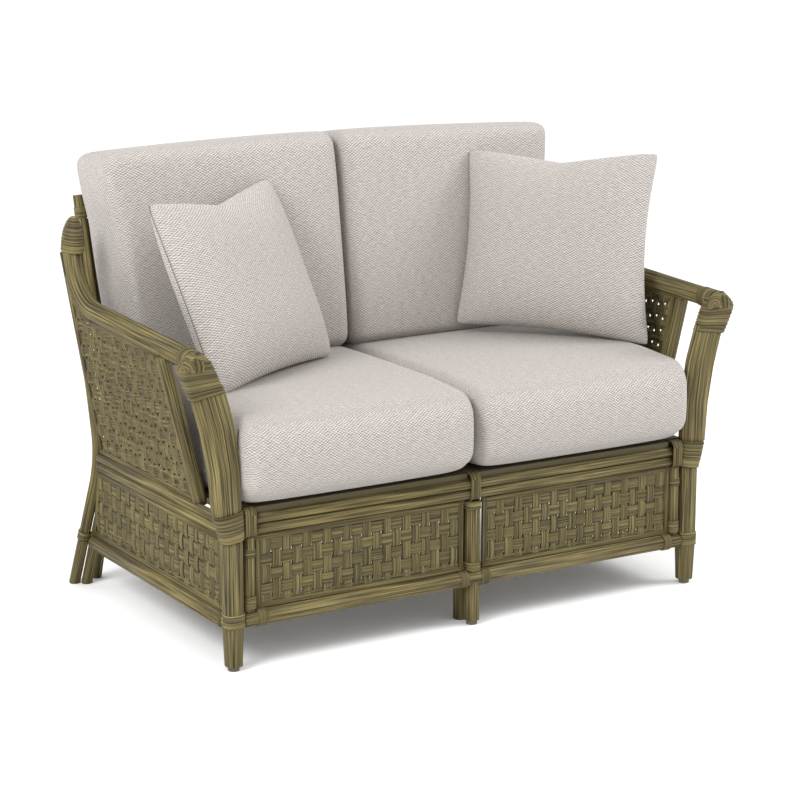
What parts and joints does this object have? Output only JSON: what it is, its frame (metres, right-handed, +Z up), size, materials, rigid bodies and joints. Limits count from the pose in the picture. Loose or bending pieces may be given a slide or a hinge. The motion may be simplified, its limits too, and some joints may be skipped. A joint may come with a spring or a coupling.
{
  "type": "outdoor loveseat",
  "caption": "Loveseat for porch or patio with a wrapped rattan pole frame, woven strap panels, flared arms, loose seat and back cushions and throw pillows.",
  "frame": {"origin": "on the floor, halfway between the front legs, in the plane of the front panels", "axes": "+X to the right as seen from the front, along the seat's length; +Y towards the back; +Z up"},
  "size_m": [1.394, 0.7972, 1.0061],
  "materials": {
    "rattan_poles": "weathered satin",
    "flat_straps": "weathered satin",
    "peel_wraps": "weathered satin",
    "deck_board": "matte",
    "glides": "matte",
    "cushion_fabric": "matte weave",
    "pillow_fabric": "matte weave"
  },
  "bodies": {
    "frame": {"front_leg_left": "rattan_poles", "front_leg_right": "rattan_poles", "post_knot_left": "peel_wraps", "post_knot_right": "peel_wraps", "arm_upright_left": "rattan_poles", "arm_upright_right": "rattan_poles", "front_arm_cap_left": "peel_wraps", "front_arm_cap_right": "peel_wraps", "arm_rail_left": "rattan_poles", "arm_rail_right": "rattan_poles", "rear_post_left": "rattan_poles", "rear_post_right": "rattan_poles", "rear_arm_cap_left": "peel_wraps", "rear_arm_cap_right": "peel_wraps", "rear_leg_inner_left": "rattan_poles", "rear_leg_inner_right": "rattan_poles", "side_seat_rail_left": "rattan_poles", "side_seat_rail_right": "rattan_poles", "side_bottom_rail_left": "rattan_poles", "side_bottom_rail_right": "rattan_poles", "side_panel_left": "flat_straps", "side_panel_right": "flat_straps", "corner_saddle_left": "peel_wraps", "corner_saddle_right": "peel_wraps", "inner_post_left": "rattan_poles", "inner_post_right": "rattan_poles", "corner_bottom_wrap_left": "peel_wraps", "corner_bottom_wrap_right": "peel_wraps", "front_panel_left": "flat_straps", "front_panel_right": "flat_straps", "arm_frame_left": "rattan_poles", "arm_frame_right": "rattan_poles", "arm_panel_left": "flat_straps", "arm_panel_right": "flat_straps", "back_post_left": "rattan_poles", "back_post_right": "rattan_poles", "back_panel_left": "flat_straps", "back_panel_right": "flat_straps", "rear_seat_rail": "rattan_poles", "rear_bottom_rail": "rattan_poles", "front_seat_rail_upper": "rattan_poles", "front_seat_rail_lower": "rattan_poles", "front_bottom_rail": "rattan_poles", "centre_saddle": "peel_wraps", "centre_post": "rattan_poles", "centre_leg_front": "rattan_poles", "centre_leg_rear": "rattan_poles", "centre_bearer": "rattan_poles", "centre_bottom_wrap": "peel_wraps", "back_top_rail": "rattan_poles", "back_centre_post": "rattan_poles", "seat_deck": "deck_board", "leg_glides": "glides"},
    "seat_cushion_left_loose": {"seat_cushion_left": "cushion_fabric"},
    "back_cushion_left_loose": {"back_cushion_left": "cushion_fabric"},
    "throw_pillow_left_loose": {"throw_pillow_left": "pillow_fabric"},
    "seat_cushion_right_loose": {"seat_cushion_right": "cushion_fabric"},
    "back_cushion_right_loose": {"back_cushion_right": "cushion_fabric"},
    "throw_pillow_right_loose": {"throw_pillow_right": "pillow_fabric"}
  },
  "joints": [
    {"name": "seat_cushion_lift_left", "type": "slide", "parent": "frame", "child": "seat_cushion_left_loose", "axis": [0, 0, 1], "range_m": [0, 0.15]},
    {"name": "back_cushion_lift_left", "type": "slide", "parent": "seat_cushion_left_loose", "child": "back_cushion_left_loose", "axis": [0, 0, 1], "range_m": [0, 0.15]},
    {"name": "throw_pillow_lift_left", "type": "slide", "parent": "back_cushion_left_loose", "child": "throw_pillow_left_loose", "axis": [0, 0, 1], "range_m": [0, 0.15]},
    {"name": "seat_cushion_lift_right", "type": "slide", "parent": "frame", "child": "seat_cushion_right_loose", "axis": [0, 0, 1], "range_m": [0, 0.15]},
    {"name": "back_cushion_lift_right", "type": "slide", "parent": "seat_cushion_right_loose", "child": "back_cushion_right_loose", "axis": [0, 0, 1], "range_m": [0, 0.15]},
    {"name": "throw_pillow_lift_right", "type": "slide", "parent": "back_cushion_right_loose", "child": "throw_pillow_right_loose", "axis": [0, 0, 1], "range_m": [0, 0.15]}
  ]
}
